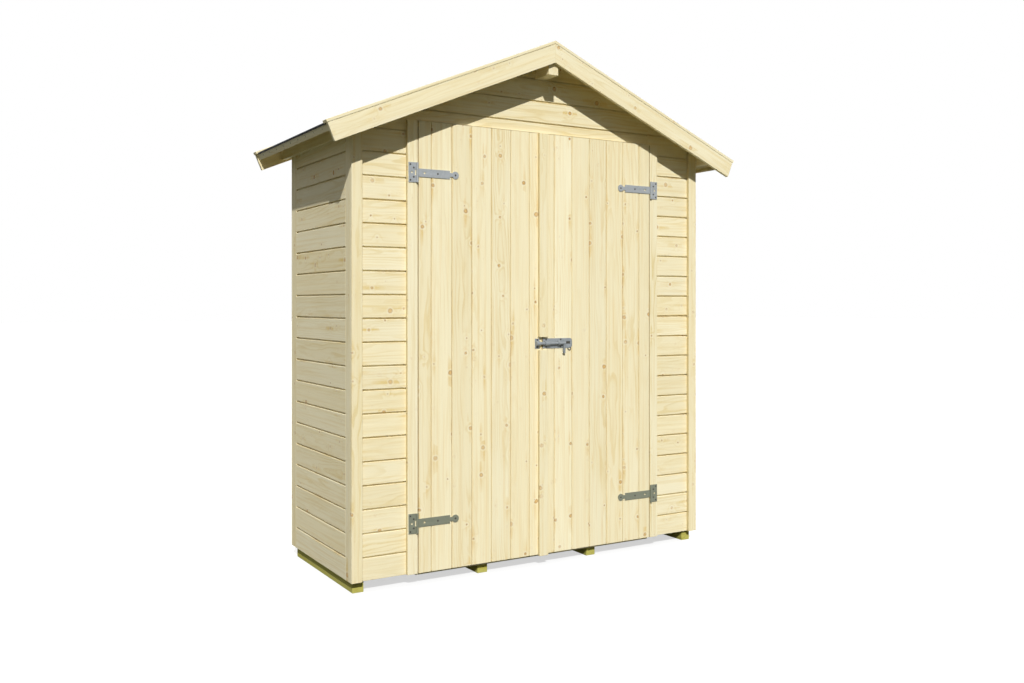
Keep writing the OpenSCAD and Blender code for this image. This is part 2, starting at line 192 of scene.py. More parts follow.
def wood(name, early, late, streak, pale, knot, heart, roughness, ring_mm, contrast, relief_mm):
    """Softwood sawn along the log: growth rings about a wandering pith, fibres, resin streaks and knots.

    Reads two attributes of the mesh: grain, metres along, across and into the board, and board, one
    random number a board. The rings of slow spruce lie 2 to 3 mm apart, too fine to show at this
    distance, so they are drawn coarser.
    """
    material, tree, shader = new_material(name)
    grain = add(tree, "ShaderNodeAttribute", attribute_name="grain").outputs["Vector"]
    board = add(tree, "ShaderNodeAttribute", attribute_name="board").outputs["Fac"]
    chance = add(tree, "ShaderNodeTexWhiteNoise", {"W": board}, noise_dimensions="1D").outputs["Color"]
    luck = add(tree, "ShaderNodeSeparateColor", {"Color": chance}).outputs
    shift = add(tree, VECTOR, {0: chance, "Scale": 40.0}, operation="SCALE")
    place = add(tree, VECTOR, {0: grain, 1: shift}, operation="ADD")
    knots = knot_marks(tree, place)
    late_wood = growth_rings(tree, grain, place, luck, knots["swirl"], ring_mm)

    # Fibres 2 mm wide, resin streaks about 12 mm wide and half a metre long, and clouds 100 mm wide
    fine = add(tree, VECTOR, {0: place, 1: spacing(160, 2, 2)}, operation="MULTIPLY")
    fibre = add(tree, NOISE, {"Vector": fine, "Scale": 1.0, "Detail": 2.0})
    long = add(tree, VECTOR, {0: place, 1: spacing(500, 12.5, 25)}, operation="MULTIPLY")
    long = add(tree, NOISE, {"Vector": long, "Scale": 1.0, "Detail": 4.0})
    resin = add(tree, SPREAD, {"Value": long, "From Min": 0.48, "From Max": 0.74, "To Max": 0.5})
    patchy = add(tree, SPREAD, {"Value": long, "From Min": 0.36, "From Max": 0.60})
    smear = add(tree, MATH, {0: knots["smear"], 1: patchy}, operation="MULTIPLY")
    broad = add(tree, VECTOR, {0: place, 1: spacing(400, 100, 100)}, operation="MULTIPLY")
    cloud = add(tree, NOISE, {"Vector": broad, "Scale": 1.0, "Detail": 2.0})

    # Rings show in some places and boards more than in others
    figure = add(tree, SPREAD, {"Value": cloud, "From Min": 0.36, "From Max": 0.66,
                                "To Min": 0.1, "To Max": contrast})
    plain = add(tree, SPREAD, {"Value": luck[2], "To Min": 0.25, "To Max": 1.0})
    figure = add(tree, MATH, {0: figure, 1: plain}, operation="MULTIPLY")
    strength = add(tree, MATH, {0: late_wood, 1: figure}, operation="MULTIPLY")
    tone = add(tree, SPREAD, {"Value": luck[1], "To Max": 0.25})
    shade = add(tree, SPREAD, {"Value": fibre, "From Min": 0.25, "From Max": 0.75,
                               "To Min": 0.955, "To Max": 1.035})
    lift = add(tree, SPREAD, {"Value": luck[0], "To Min": 0.965, "To Max": 1.035})
    shade = add(tree, MATH, {0: shade, 1: lift}, operation="MULTIPLY")

    # Colour, from the early wood outwards to the knots
    colour = linear(early)
    for factor, over in ((strength, late), (resin, streak), (tone, late)):
        colour = add(tree, BLEND, {"Factor": factor, "A": colour, "B": linear(over)}, data_type="RGBA")
    colour = add(tree, VECTOR, {0: colour, "Scale": shade}, operation="SCALE")
    for factor, over in ((smear, streak), (knots["collar"], pale)):
        colour = add(tree, BLEND, {"Factor": factor, "A": colour, "B": linear(over)}, data_type="RGBA")
    branch = linear(heart)
    for factor, over in ((knots["middle"], knot), (knots["eye"], heart)):
        branch = add(tree, BLEND, {"Factor": factor, "A": branch, "B": linear(over)}, data_type="RGBA")
    colour = add(tree, BLEND, {"Factor": knots["core"], "A": colour, "B": branch}, data_type="RGBA")
    tree.links.new(colour.outputs[2], shader.inputs["Base Color"])

    shader.inputs["Roughness"].default_value = roughness
    shader.inputs["Specular IOR Level"].default_value = 0.2
    # Fibres and late wood stand a little proud, and knots lie lower
    height = add(tree, MATH, {0: fibre, 1: 0.6, 2: strength}, operation="MULTIPLY_ADD")
    height = add(tree, MATH, {0: knots["core"], 1: -0.5, 2: height}, operation="MULTIPLY_ADD")
    bump = add(tree, "ShaderNodeBump", {"Height": height, "Distance": relief_mm * MM, "Strength": 0.7})
    tree.links.new(bump.outputs[0], shader.inputs["Normal"])
    return material


def zinc(name, dull, bright):
    """Zinc on pressed sheet: blue-grey with faint crystals, with a painted reflection of the ground that
    makes it dimmer and browner near the ground.
    """
    material, tree, shader = new_material(name)
    place = add(tree, "ShaderNodeTexCoord").outputs["Object"]
    # Crystals of the zinc are about 5 mm across
    spangle = add(tree, CELLS, {"Vector": place, "Scale": 1 / (5 * MM)})
    crystal = add(tree, "ShaderNodeSeparateColor", {"Color": spangle.outputs["Color"]}).outputs[0]
    # Painted reflection of the ground: the coat turns dimmer and browner from hip height down, in patches
    # of about 20 mm
    patch = add(tree, NOISE, {"Vector": place, "Scale": 1 / (20 * MM), "Detail": 3.0})
    height = add(tree, "ShaderNodeSeparateXYZ", {"Vector": place}).outputs[2]
    painted_ground_reflection = add(tree, SPREAD, {"Value": height, "From Min": 0.85, "From Max": 0.35, "To Max": 0.9})
    painted_ground_reflection = add(tree, MATH, {0: patch, 1: 0.16, 2: painted_ground_reflection}, operation="MULTIPLY_ADD")
    base_zinc = add(tree, BLEND, {"Factor": crystal, "A": linear(dull), "B": linear(bright)}, data_type="RGBA")
    # Blends the painted ground reflection into the zinc's colour
    colour = add(tree, BLEND, {"Factor": painted_ground_reflection, "A": base_zinc, "B": linear("#797D6B")}, data_type="RGBA")
    tree.links.new(colour.outputs[2], shader.inputs["Base Color"])
    rough = add(tree, SPREAD, {"Value": crystal, "To Min": 0.42, "To Max": 0.52})
    tree.links.new(rough.outputs[0], shader.inputs["Roughness"])
    shader.inputs["Metallic"].default_value = 0.1
    return material


def blackened_steel():
    """Screws and nails of blackened steel: small dark heads with a dull shine."""
    material, tree, shader = new_material("blackened_steel")
    place = add(tree, "ShaderNodeTexCoord").outputs["Object"]
    # Scale from the hardening lies in blotches of 2 mm
    blotch = add(tree, NOISE, {"Vector": place, "Scale": 1 / (2 * MM), "Detail": 2.0})
    colour = add(tree, BLEND, {"Factor": blotch, "A": linear("#33322D"), "B": linear("#57544B")},
                 data_type="RGBA")
    tree.links.new(colour.outputs[2], shader.inputs["Base Color"])
    shader.inputs["Metallic"].default_value = 0.4
    shader.inputs["Roughness"].default_value = 0.6
    return material


def bitumen_felt():
    """Roofing felt: bitumen sheet faced with slate grit, matt and nearly black, with pale flecks."""
    material, tree, shader = new_material("bitumen_felt")
    place = add(tree, "ShaderNodeTexCoord").outputs["Object"]
    # Grit about 2.5 mm across, drawn coarser than the real 1 mm so that it shows
    grit = add(tree, CELLS, {"Vector": place, "Scale": 1 / (2.5 * MM)})
    fleck = add(tree, "ShaderNodeSeparateColor", {"Color": grit.outputs["Color"]}).outputs[0]
    bright = add(tree, MATH, {0: fleck, 1: 3.0}, operation="POWER")
    # Patches where the grit lies thinner, about 150 mm across
    patch = add(tree, NOISE, {"Vector": place, "Scale": 1 / (150 * MM), "Detail": 4.0})
    thin = add(tree, MATH, {0: patch, 1: 0.7}, operation="MULTIPLY")
    colour = add(tree, BLEND, {"Factor": bright, "A": linear("#17181A"), "B": linear("#414347")},
                 data_type="RGBA")
    colour = add(tree, BLEND, {"Factor": thin, "A": colour, "B": linear("#121315")}, data_type="RGBA")
    tree.links.new(colour.outputs[2], shader.inputs["Base Color"])
    shader.inputs["Roughness"].default_value = 0.9
    shader.inputs["Specular IOR Level"].default_value = 0.3
    height = add(tree, MATH, {0: fleck, 1: 0.3, 2: patch}, operation="MULTIPLY_ADD")
    bump = add(tree, "ShaderNodeBump", {"Height": height, "Distance": 1.2 * MM, "Strength": 0.6})
    tree.links.new(bump.outputs[0], shader.inputs["Normal"])
    return material


SPRUCE = wood("planed_spruce", early="#FAF1D0", late="#E1CB8D", streak="#E1C67F", pale="#FCF5DA",
              knot="#DDB064", heart="#A0722E", roughness=0.58, ring_mm=10.0, contrast=0.95, relief_mm=0.25)
DOOR_SPRUCE = wood("door_spruce", early="#F9F0CE", late="#E7D29B", streak="#E4C888", pale="#FCF5DA",
                   knot="#DDB064", heart="#A0722E", roughness=0.58, ring_mm=10.5, contrast=1.0,
                   relief_mm=0.25)
# Rougher, darker spruce for the sideways faces of upright trims: the darkness is painted shade
PAINTED_SHADE_SPRUCE = wood("spruce_with_painted_shade", early="#DCCDA0", late="#CCB680", streak="#CBB277", pale="#E2D4A8",
                   knot="#B08A55", heart="#7E5C34", roughness=0.75, ring_mm=10.0, contrast=0.8,
                   relief_mm=0.4)
TREATED = wood("green_treated_timber", early="#C6C067", late="#A59D45", streak="#B0A440", pale="#C2BA60",
               knot="#8F8440", heart="#5E5526", roughness=0.8, ring_mm=11.0, contrast=1.0, relief_mm=0.6)
HINGE_ZINC = zinc("galvanised_steel", dull="#9EA3A7", bright="#A9AEB2")
# The padbolt's zinc is drawn darker than the hinges', partly as painted shade
BOLT_ZINC = zinc("padbolt_zinc_painted_darker", dull="#8A9095", bright="#979DA2")
DARK_STEEL = blackened_steel()
FELT = bitumen_felt()


# Mesh helpers

def new_object(name, mesh):
    """A mesh object at the origin."""
    thing = bpy.data.objects.new(name, mesh)
    bpy.context.scene.collection.objects.link(thing)
    return thing


def made_mesh(name, bm):
    """The finished mesh of a bmesh, which is freed."""
    mesh = bpy.data.meshes.new(name)
    bm.to_mesh(mesh)
    bm.free()
    return mesh


def islands(bm):
    """The separate pieces of a mesh, each as a list of its vertices."""
    left = set(bm.verts)
    found = []
    for start in bm.verts:
        if start not in left:
            continue
        left.discard(start)
        piece = [start]
        for vert in piece:
            for edge in vert.link_edges:
                other = edge.other_vert(vert)
                if other in left:
                    left.discard(other)
                    piece.append(other)
        found.append(piece)
    return found


def straight_runs(piece):
    """The edges of a piece as vectors, longest first, each turned towards +X, +Y or +Z.

    Edges of one length are put in order by their direction, so that the order never depends on chance.
    """
    edges = {edge for vert in piece for edge in vert.link_edges}
    runs = [edge.verts[1].co - edge.verts[0].co for edge in edges]
    runs = [run if max(run, key=abs) > 0 else -run for run in runs]
    return sorted(runs, key=lambda run: (-round(run.length, 5), *[round(part, 5) for part in run]))


def lay_grain(bm, seed, along=None, across=None):
    """Gives each piece of timber its own grain: along its longest edge unless a direction is given."""
    grain = bm.verts.layers.float_vector.new("grain")
    board = bm.verts.layers.float.new("board")
    draw = random.Random(seed)
    nearly_square = 0.02
    for piece in islands(bm):
        first, second = along, across
        if first is None:
            runs = straight_runs(piece)
            first = runs[0].normalized()
            square = [run for run in runs if abs(run.normalized().dot(first)) < nearly_square]
            second = square[0].normalized()
        third = first.cross(second)
        middle = sum((vert.co for vert in piece), Vector()) / len(piece)
        number = draw.random()
        for vert in piece:
            offset = vert.co - middle
            vert[grain] = Vector((offset.dot(first), offset.dot(second), offset.dot(third)))
            vert[board] = number


def finish_piece(name, mesh, material, body, slot, *nodes):
    """Dresses a finished mesh, sets it on its body and hides the nodes it stands for."""
    mesh.materials.clear()
    mesh.materials.append(material)
    piece = new_object(name, mesh)
    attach(piece, body)
    if nodes:
        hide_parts(*nodes)
    return piece


def merged_copy(node):
    """A copy of a node's mesh with its triangles joined and its flat faces whole."""
    bm = bmesh.new()
    bm.from_mesh(frame["nodes"][node].data)
    bmesh.ops.remove_doubles(bm, verts=bm.verts, dist=WELD)
    bmesh.ops.dissolve_limit(bm, angle_limit=FLAT_ANGLE, verts=bm.verts, edges=bm.edges)
    return bm


def ease_edges(bm, ease_mm):
    """Rounds the sharp edges and leaves the facets of round shapes alone."""
    sharp = [edge for edge in bm.edges if edge.calc_face_angle(0) > EDGE_ANGLE]
    bmesh.ops.bevel(bm, geom=sharp, offset=ease_mm * MM, segments=2, profile=0.5, affect="EDGES",
                    clamp_overlap=True)
    bmesh.ops.recalc_face_normals(bm, faces=bm.faces)


def timber(node, body, ease_mm=1.2, material=SPRUCE, slot="spruce"):
    """A node of planed timber, its edges eased, with grain along each length."""
    bm = merged_copy(node)
    lay_grain(bm, node)
    ease_edges(bm, ease_mm)
    return finish_piece("dressed_" + node, made_mesh(node, bm), material, body, slot, node)


def paint_side_shade(piece):
    """Gives the sideways faces of an upright timber a rougher, darker spruce, its darkness painted shade,
    but not those that lie in a side wall.
    """
    side_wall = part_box("front_corner_trims")[1].x - MM
    piece.data.materials.append(PAINTED_SHADE_SPRUCE)
    for face in piece.data.polygons:
        sideways = abs(face.normal.x) > 0.8
        if sideways and abs(face.center.x) < side_wall:
            face.material_index = 1


def fitting(node, body, material, ease_mm=0.5):
    """A node of zinc-coated steel, its edges dulled and its round faces smooth."""
    bm = merged_copy(node)
    ease_edges(bm, ease_mm)
    mesh = made_mesh(node, bm)
    mesh.shade_smooth()
    mesh.set_sharp_from_angle(angle=CREASE_ANGLE)
    return finish_piece("dressed_" + node, mesh, material, body, "zinc", node)


# Geometry node trees

def new_tree(name, sockets):
    """A geometry node tree with named inputs: the tree, the inputs' identifiers and the inputs' sockets."""
    tree = bpy.data.node_groups.new(name, "GeometryNodeTree")
    tree.interface.new_socket("Geometry", in_out="OUTPUT", socket_type="NodeSocketGeometry")
    tree.interface.new_socket("Geometry", in_out="INPUT", socket_type="NodeSocketGeometry")
    names = {}
    for label, kind in sockets:
        socket = tree.interface.new_socket(label, in_out="INPUT", socket_type="NodeSocket" + kind)
        names[label] = socket.identifier
    return tree, names, add(tree, "NodeGroupInput").outputs


def board_run():
    """Boards laid side by side: a board drawn to length, repeated by a step."""
    tree, names, given = new_tree("board_run", [
        ("Board", "Object"), ("Length", "Float"), ("Count", "Int"), ("First", "Vector"), ("Step", "Vector"),
        ("Turn", "Rotation"), ("Material", "Material")])
    board = add(tree, "GeometryNodeObjectInfo", {"Object": given["Board"]})
    stretch = add(tree, "ShaderNodeCombineXYZ", {"X": given["Length"], "Y": 1.0, "Z": 1.0})
    cut = add(tree, "GeometryNodeTransform", {"Geometry": board.outputs["Geometry"], "Scale": stretch})
    row = add(tree, "GeometryNodeMeshLine", {"Count": given["Count"], "Start Location": given["First"],
                                             "Offset": given["Step"]}, mode="OFFSET")
    laid = add(tree, "GeometryNodeInstanceOnPoints", {"Points": row, "Instance": cut,
                                                      "Rotation": given["Turn"]})
    real = add(tree, "GeometryNodeRealizeInstances", {"Geometry": laid})
    clad = add(tree, "GeometryNodeSetMaterial", {"Geometry": real, "Material": given["Material"]})
    add(tree, "NodeGroupOutput", {"Geometry": clad})
    return tree, names


def fastener_heads():
    """A head on every point, faced and sized by the points' attributes and spun at random."""
    tree, names, given = new_tree("fastener_heads", [
        ("Head", "Object"), ("Spin", "Float"), ("Seed", "Int"), ("Material", "Material")])
    head = add(tree, "GeometryNodeObjectInfo", {"Object": given["Head"]})
    facing = add(tree, "GeometryNodeInputNamedAttribute", {"Name": "facing"}, data_type="FLOAT_VECTOR")
    size = add(tree, "GeometryNodeInputNamedAttribute", {"Name": "size"}, data_type="FLOAT")
    aimed = add(tree, "FunctionNodeAlignRotationToVector", {"Vector": facing}, axis="Z")
    angle = add(tree, "FunctionNodeRandomValue", {"Min": 0.0, "Max": given["Spin"], "Seed": given["Seed"]},
                data_type="FLOAT")
    spin = add(tree, "FunctionNodeAxisAngleToRotation", {"Axis": (0, 0, 1), "Angle": angle})
    turned = add(tree, "FunctionNodeRotateRotation", {"Rotation": aimed, "Rotate By": spin},
                 rotation_space="LOCAL")
    set_in = add(tree, "GeometryNodeInstanceOnPoints", {
        "Points": given["Geometry"], "Instance": head.outputs["Geometry"],
        "Rotation": turned, "Scale": size})
    real = add(tree, "GeometryNodeRealizeInstances", {"Geometry": set_in})
    dark = add(tree, "GeometryNodeSetMaterial", {"Geometry": real, "Material": given["Material"]})
    add(tree, "NodeGroupOutput", {"Geometry": dark})
    return tree, names


def grown(name, tree, names, values, mesh=None):
    """The plain mesh that a node tree makes from these inputs."""
    holder = new_object(name, mesh or bpy.data.meshes.new(name))
    modifier = holder.modifiers.new(name, "NODES")
    modifier.node_group = tree
    for label, value in values.items():
        modifier[names[label]] = value
    holder.update_tag()
    graph = bpy.context.evaluated_depsgraph_get()
    made = bpy.data.meshes.new_from_object(holder.evaluated_get(graph))
    holder.modifiers.clear()
    bpy.data.objects.remove(holder)
    return made


RUN_TREE, RUN_NAMES = board_run()
HEAD_TREE, HEAD_NAMES = fastener_heads()


# Boards

def tongued_board(name, cover, thick, head_ease, foot_ease, gap):
    """One metre of a tongued and grooved board in millimetres: X along, Y in from its face, Z across."""
    tongue_in, tongue_out = thick * 0.60, thick * 0.82
    slack, reach = 0.5, 6.0
    groove = reach + 1
    head = cover - gap
    section = [(foot_ease, 0), (0, foot_ease), (0, head - head_ease), (head_ease, head),
               (tongue_in, head), (tongue_in, cover + reach), (tongue_out, cover + reach),
               (tongue_out, head), (thick, head), (thick, 0), (tongue_out + slack, 0),
               (tongue_out + slack, groove), (tongue_in - slack, groove), (tongue_in - slack, 0)]
    bm = bmesh.new()
    ends = [[bm.verts.new((x, y * MM, z * MM)) for y, z in section] for x in (0.0, 1.0)]
    count = len(section)
    for i in range(count):
        j = (i + 1) % count
        bm.faces.new((ends[0][i], ends[0][j], ends[1][j], ends[1][i]))
    bm.faces.new(ends[0])
    bm.faces.new(list(reversed(ends[1])))
    bmesh.ops.recalc_face_normals(bm, faces=bm.faces)
    return new_object(name, made_mesh(name, bm))


def clip(bm, point, normal):
    """Cuts away what lies beyond a plane and closes the cut."""
    touching = 0.001 * MM
    bmesh.ops.bisect_plane(bm, geom=bm.verts[:] + bm.edges[:] + bm.faces[:], dist=touching,
                           plane_co=point, plane_no=normal, clear_outer=True)
    bmesh.ops.holes_fill(bm, edges=[edge for edge in bm.edges if edge.is_boundary])


def block(name, lowest, highest):
    """The mesh of a plain box."""
    bm = bmesh.new()
    bmesh.ops.create_cube(bm, size=1.0)
    bmesh.ops.scale(bm, vec=highest - lowest, verts=bm.verts)
    bmesh.ops.translate(bm, vec=(lowest + highest) / 2, verts=bm.verts)
    return made_mesh(name, bm)


def cut_box(mesh, lowest, highest):
    """A copy of a mesh with a box cut out of it."""
    cutter = new_object("cutter", block("cutter", lowest, highest))
    holder = new_object("cut", mesh)
    modifier = holder.modifiers.new("cut", "BOOLEAN")
    modifier.operation = "DIFFERENCE"
    modifier.solver = "EXACT"
    modifier.object = cutter
    graph = bpy.context.evaluated_depsgraph_get()
    made = bpy.data.meshes.new_from_object(holder.evaluated_get(graph))
    bpy.data.objects.remove(holder)
    bpy.data.objects.remove(cutter)
    return made


def boarding(node, body, board, along, inwards, first, length, count, planes, slot_box=None,
             material=SPRUCE):
    """A clad face of tongued boards that stands for a node, cut to planes given as (point, normal)."""
    across = along.cross(inwards)
    turn = Matrix((along, inwards, across)).transposed().to_euler()
    mesh = grown(node, RUN_TREE, RUN_NAMES, {
        "Board": board, "Length": length, "Count": count, "First": first,
        "Step": across * COVER * MM, "Turn": turn, "Material": material})
    if slot_box:
        mesh = cut_box(mesh, *slot_box)
    bm = bmesh.new()
    bm.from_mesh(mesh)
    for point, normal in planes:
        clip(bm, point, normal)
    lay_grain(bm, node, along, across)
    return finish_piece("dressed_" + node, made_mesh(node, bm), material, body, "spruce", node)


COVER = 96.0
WALL_BOARD = tongued_board("wall_board", COVER, 16.0, head_ease=2.0, foot_ease=0.8, gap=6.2)
DOOR_BOARD = tongued_board("door_board", COVER, 15.0, head_ease=0.8, foot_ease=4.0, gap=1.2)
DECK_BOARD = tongued_board("deck_board", COVER, 16.0, head_ease=2.5, foot_ease=2.5, gap=1.0)

APEX = Vector((0, 0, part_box("ridge_purlin")[1].z))
UNDER_ROOF = [(APEX, Vector((side * math.sin(PITCH), 0, math.cos(PITCH)))) for side in (-1, 1)]
WALL_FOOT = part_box("front_left_panel")[0].z
PURLIN_PLAY = Vector((1, 0, 1)) * MM
PURLIN_SLOT = (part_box("ridge_purlin")[0] - PURLIN_PLAY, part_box("ridge_purlin")[1] + PURLIN_PLAY)


def wall(node, along, inwards, slot_box=None):
    """Boards on one upright face of a wall, level with those of the other walls."""
    lowest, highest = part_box(node)
    start = Vector([lowest[i] if along[i] + inwards[i] > 0 else highest[i] for i in range(3)])
    start.z = WALL_FOOT
    run = abs((highest - lowest).dot(along))
    count = math.ceil((highest.z - WALL_FOOT) / (COVER * MM))
    foot = (Vector((0, 0, lowest.z)), -Z)
    return boarding(node, "shed", WALL_BOARD, along, inwards, start, run, count, [foot, *UNDER_ROOF],
                    slot_box)


# Width of each leaf's last board towards +X: at the left leaf's meeting edge and the right leaf's hinges
END_BOARD = {"left": 63.0, "right": 58.5}


def door(side):
    """Upright boards of one leaf, the outer two cut narrower."""
    node = side + "_door_boards"
    lowest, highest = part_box(node)
    start = Vector((highest.x + (COVER - END_BOARD[side]) * MM, lowest.y, lowest.z))
    count = math.ceil((start.x - lowest.x) / (COVER * MM))
    planes = [(highest, X), (lowest, -X)]
    return boarding(node, side + "_door", DOOR_BOARD, Z, Y, start, highest.z - lowest.z, count, planes,
                    material=DOOR_SPRUCE)


def down_slope(sign):
    """Directions down and square to a roof slope: sign is -1 on the left and 1 on the right."""
    return (Vector((sign * math.cos(PITCH), 0, -math.sin(PITCH))),
            Vector((sign * math.sin(PITCH), 0, math.cos(PITCH))))


def roof_deck(side, sign):
    """Boards from the ridge down to the eave, their V joints towards the ground."""
    node = side + "_roof_deck"
    lowest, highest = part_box(node)
    down, up = down_slope(sign)
    thick = 16 * MM
    past_ridge = 0.05
    start = Vector((0, 0, highest.z)) - up * thick - down * past_ridge
    start.y = lowest.y if down.cross(up).y > 0 else highest.y
    length = max(-lowest.x, highest.x) / math.cos(PITCH) + past_ridge
    count = math.ceil((highest.y - lowest.y) / (COVER * MM))
    planes = [(lowest, -Y), (highest, Y), (Vector(), -X * sign)]
    return boarding(node, "shed", DECK_BOARD, down, up, start, length, count, planes)


def floor_boards():
    """Floor boards across the bearers."""
    lowest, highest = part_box("floor")
    count = math.ceil((highest.y - lowest.y) / (COVER * MM))
    start = Vector((lowest.x, lowest.y, highest.z))
    return boarding("floor", "shed", DECK_BOARD, X, -Z, start, highest.x - lowest.x, count, [(highest, Y)])


wall("left_wall", -Y, X)
wall("right_wall", Y, -X)
wall("front_left_panel", X, Y)
wall("front_right_panel", X, Y)
wall("front_gable", X, Y, PURLIN_SLOT)
wall("back_wall", -X, -Y, PURLIN_SLOT)
for side, sign in (("left", -1), ("right", 1)):
    door(side)
    roof_deck(side, sign)
floor_boards()
for board in (WALL_BOARD, DOOR_BOARD, DECK_BOARD):
    bpy.data.objects.remove(board)


# Plain timbers

timber("bearers", "shed", ease_mm=1.5, material=TREATED, slot="treated_timber")
for node in ("threshold", "front_posts", "back_posts", "left_jamb_post", "right_jamb_post", "door_lintel",
             "side_wall_rails", "front_wall_rails", "back_wall_rails", "back_corner_trims",
             "ridge_purlin", "left_eaves_batten", "right_eaves_batten", "left_eave_fascia",
             "right_eave_fascia", "front_cap_strips", "back_cap_strips"):
    timber(node, "shed")
# Mitred at the ridge, so their edges are left sharper
for node in ("front_bargeboards", "back_bargeboards"):
    timber(node, "shed", ease_mm=0.5)
timber("left_door_ledges", "left_door")
timber("right_door_ledges", "right_door")
# Painted shade on the sideways faces of the trims and the meeting strip
paint_side_shade(timber("front_corner_trims", "shed"))
paint_side_shade(timber("jamb_trims", "shed"))
paint_side_shade(timber("meeting_strip", "right_door", ease_mm=1.5))


# Roofing felt

RIDGE_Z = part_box("left_roof_deck")[1].z
FELT_TOP = 4 * MM
LAP_THICK = 2 * MM
# Sheets laid over the eave sheet: distance of the lower edge from the ridge
LAPS = (0.56, 0.13)


def slope_point(sign, distance, height, y):
    """A point of a roof slope: distance down from the ridge, height square to the deck, and Y."""
    down, up = down_slope(sign)
    point = down * distance + up * height
    return Vector((point.x, y, RIDGE_Z + point.z))


def felt(side, sign):
    """The sheets of one slope: the one at the eave, and two that lap over it towards the ridge."""
    node = side + "_roof_felt"
    lowest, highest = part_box(node)
    bm = merged_copy(node)
    for number, foot in enumerate(LAPS):
        under = FELT_TOP + number * LAP_THICK
        over = under + LAP_THICK
        ring = []
        for y in (lowest.y, highest.y):
            corners = [(-under * math.tan(PITCH), under), (foot, under), (foot, over),
                       (-over * math.tan(PITCH), over)]
            ring.append([bm.verts.new(slope_point(sign, d, n, y)) for d, n in corners])
        for i in range(4):
            j = (i + 1) % 4
            bm.faces.new((ring[0][i], ring[0][j], ring[1][j], ring[1][i]))
        bm.faces.new(ring[0])
        bm.faces.new(list(reversed(ring[1])))
    ease_edges(bm, ease_mm=0.7)
    return finish_piece("dressed_" + node, made_mesh(node, bm), FELT, "shed", "felt", node)


felt("left", -1)
felt("right", 1)


# Hinges and padbolt

for node, body in (("left_hinge_plates", "shed"), ("right_hinge_plates", "shed"),
                   ("left_hinge_straps", "left_door"), ("right_hinge_straps", "right_door")):
    fitting(node, body, HINGE_ZINC)
fitting("padbolt_keeper", "left_door", BOLT_ZINC)
fitting("padbolt_bar", "bolt", BOLT_ZINC)

KEEPER_LOW, KEEPER_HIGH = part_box("padbolt_keeper")
BAR_Z = (KEEPER_LOW.z + KEEPER_HIGH.z) / 2
BOLT_LOW, BOLT_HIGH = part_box("padbolt_plate")
FACE_Y = BOLT_HIGH.y

# The padlock ring that hangs under the plate is of darker wire
RING_TOP = KEEPER_LOW.z - 0.5 * MM
bolt_plate = fitting("padbolt_plate", "right_door", BOLT_ZINC)
bolt_plate.data.materials.append(DARK_STEEL)
for face in bolt_plate.data.polygons:
    if face.center.z < RING_TOP:
        face.material_index = 1

# A dark sheet at the back of the slot in the plate is painted shadow, placed from the plate's end and from
# the axis of the bar
SLOT_START, SLOT_END = 32 * MM, 10 * MM
SLOT_BELOW, SLOT_ABOVE = 4 * MM, 8 * MM
SLOT_SHADOW_THICK = 1.2 * MM
slot_shadow_sheet = block("padbolt_slot_back",
                  Vector((BOLT_HIGH.x - SLOT_START, FACE_Y - SLOT_SHADOW_THICK, BAR_Z - SLOT_BELOW)),
                  Vector((BOLT_HIGH.x - SLOT_END, FACE_Y, BAR_Z + SLOT_ABOVE)))
finish_piece("padbolt_slot_back", slot_shadow_sheet, DARK_STEEL, "right_door", "zinc")


def turned_head(name, profile, sides):
    """A head turned about Z from a profile of (radius, height) in millimetres."""
    bm = bmesh.new()
    rings = []
    for radius, height in profile:
        angles = [math.tau * i / sides for i in range(sides)]
        rings.append([bm.verts.new((radius * MM * math.cos(a), radius * MM * math.sin(a), height * MM))
                      for a in angles])
    for low, high in zip(rings, rings[1:]):
        for i in range(sides):
            j = (i + 1) % sides
            bm.faces.new((low[i], low[j], high[j], high[i]))
    bm.faces.new(list(reversed(rings[0])))
    bm.faces.new(rings[-1])
    return new_object(name, made_mesh(name, bm))


SCREW_HEAD = turned_head("screw_head", [(4.0, 0.0), (3.7, 0.7), (1.9, 1.1), (1.1, 0.2)], 12)
NAIL_SIZE = 0.65
HEAD_SEED = 7


def fasteners(name, body, places):
    """Heads of screws and nails on one body: places are (point, direction that the head faces, size)."""
    bm = bmesh.new()
    facing = bm.verts.layers.float_vector.new("facing")
    size = bm.verts.layers.float.new("size")
    for point, direction, scale in places:
        vert = bm.verts.new(point)
        vert[facing] = direction
        vert[size] = scale
    values = {"Head": SCREW_HEAD, "Spin": math.tau, "Seed": HEAD_SEED, "Material": DARK_STEEL}
    mesh = grown(name, HEAD_TREE, HEAD_NAMES, values, made_mesh(name, bm))
    return finish_piece(name, mesh, DARK_STEEL, body, "zinc")


# The pins of the right door's hinges, which the left door mirrors
PIN_X = frame["joints"][1]["pos_m"][0]
# Front faces of the hinges' sheet and of the padbolt's thinner one
SHEET_Y = FACE_Y - 3 * MM
BOLT_SHEET_Y = FACE_Y - 2.5 * MM
PLATE_LOW, PLATE_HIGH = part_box("right_hinge_plates")
HALF_PLATE = 41 * MM
HINGE_HEIGHTS = (PLATE_LOW.z + HALF_PLATE, PLATE_HIGH.z - HALF_PLATE)
# Distances from the pin and heights over the middle of the hinge, in millimetres
PLATE_SCREWS = [(30.2, 32), (30.2, -32), (15.4, 19), (15.4, -19)]
STRAP_SCREWS = [(-95, 0), (-178, 0)]


def on_hinges(sign, spots, y):
    """Places on both hinges of one leaf."""
    return [(Vector((sign * (PIN_X + x * MM), y, height + z * MM)), -Y, 1.0)
            for height in HINGE_HEIGHTS for x, z in spots]


def fascia_nails(sign):
    """Nails along the middle of an eave fascia, one to a deck board."""
    lowest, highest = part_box("right_eave_fascia")
    down, _ = down_slope(sign)
    outer = 1.120
    half_height = 15 * MM
    count = int((highest.y - lowest.y) / (COVER * MM))
    first = -(count - 1) / 2 * COVER * MM
    return [(slope_point(sign, outer, -half_height, first + i * COVER * MM), down, NAIL_SIZE)
            for i in range(count)]


